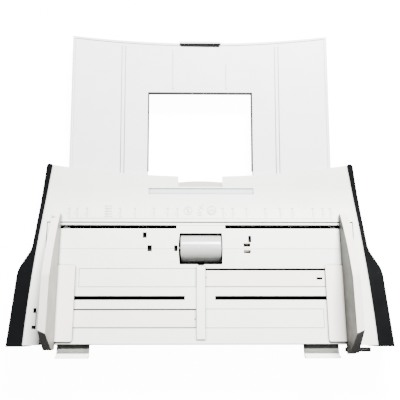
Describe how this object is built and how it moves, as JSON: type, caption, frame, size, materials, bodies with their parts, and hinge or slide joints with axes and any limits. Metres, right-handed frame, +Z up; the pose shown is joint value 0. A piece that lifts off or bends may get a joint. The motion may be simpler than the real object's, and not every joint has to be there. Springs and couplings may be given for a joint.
{
  "type": "document scanner paper input chute",
  "caption": "Paper input chute of a sheet-fed document scanner: sloped paper table with coupled side guides, idler roller, pull-out extension tray and hanging hooks.",
  "frame": {"origin": "centre of the bounding box in plan, on the surface that the chute lies on", "axes": "+X to the right across the chute, +Y up the chute from the feed end to the extension, +Z up, away from the surface it lies on"},
  "size_m": [0.4186, 0.3755, 0.1113],
  "materials": {
    "white_plastic": "fine-textured moulded, slightly satin",
    "guide_plastic": "warm white, satin moulded",
    "grey_plastic": "matte moulded",
    "roller_plastic": "smooth satin",
    "black_trim": "fine-textured satin black",
    "dark_plastic": "self-lubricating, smooth",
    "steel": "zinc plated",
    "dark_steel": "blackened, turned",
    "rubber": "matte",
    "circuit_board": "paper laminate"
  },
  "bodies": {
    "chute": {"chute_body": "white_plastic", "side_trim_right": "black_trim", "side_trim_left": "black_trim", "paper_table": "white_plastic", "centre_strip": "white_plastic", "roller_cradle": "dark_plastic", "roller_bush_right": "dark_plastic", "roller_bush_left": "dark_plastic", "pinion_plate": "dark_plastic", "pinion_axle": "steel", "pinion_washer": "steel", "sensor_board": "circuit_board", "sensor_blocks": "dark_plastic", "front_beam": "grey_plastic", "hook_left": "white_plastic", "hook_right": "white_plastic", "pivot_pin": "dark_steel", "rear_cover": "white_plastic", "slide_strips": "dark_plastic", "light_shield": "dark_plastic", "extension_rail_right": "grey_plastic", "extension_rail_left": "grey_plastic", "click_spring_right": "steel", "click_spring_left": "steel", "rubber_feet": "rubber", "cover_screws": "steel", "table_screws": "steel", "cradle_screws": "steel", "pinion_plate_screws": "steel", "board_screws": "steel"},
    "guide_left": {"guide_left": "guide_plastic", "rack_arm_left": "guide_plastic", "guide_shoe_left": "dark_plastic", "guide_clip_left": "dark_plastic"},
    "guide_right": {"guide_right": "guide_plastic", "rack_arm_right": "guide_plastic", "guide_shoe_right": "dark_plastic", "guide_clip_right": "dark_plastic"},
    "pinion": {"pinion_gear": "grey_plastic"},
    "idler_roller": {"roller": "roller_plastic", "roller_shaft": "steel"},
    "extension": {"extension_tray": "white_plastic", "extension_stop_right": "rubber", "extension_stop_left": "rubber"}
  },
  "joints": [
    {"name": "guide_left_slide", "type": "slide", "parent": "chute", "child": "guide_left", "axis": [1, 0, 0], "range_m": [0, 0.131]},
    {"name": "guide_right_slide", "type": "slide", "parent": "chute", "child": "guide_right", "axis": [-1, 0, 0], "range_m": [0, 0.131]},
    {"name": "pinion_spin", "type": "hinge", "parent": "chute", "child": "pinion", "pos_m": [0, -0.12314, 0.04428], "axis": [0, 0.1736, 0.9848], "range_deg": [0, 834]},
    {"name": "roller_spin", "type": "hinge", "parent": "chute", "child": "idler_roller", "pos_m": [0, -0.06656, 0.02568], "axis": [1, 0, 0], "continuous": true},
    {"name": "extension_slide", "type": "slide", "parent": "chute", "child": "extension", "axis": [0, -1, 0], "range_m": [0, 0.148]}
  ],
  "couplings": [
    {"joint": "guide_right_slide", "follows": "guide_left_slide", "ratio": 1},
    {"joint": "pinion_spin", "follows": "guide_left_slide", "rad_per_m": 111.11}
  ]
}
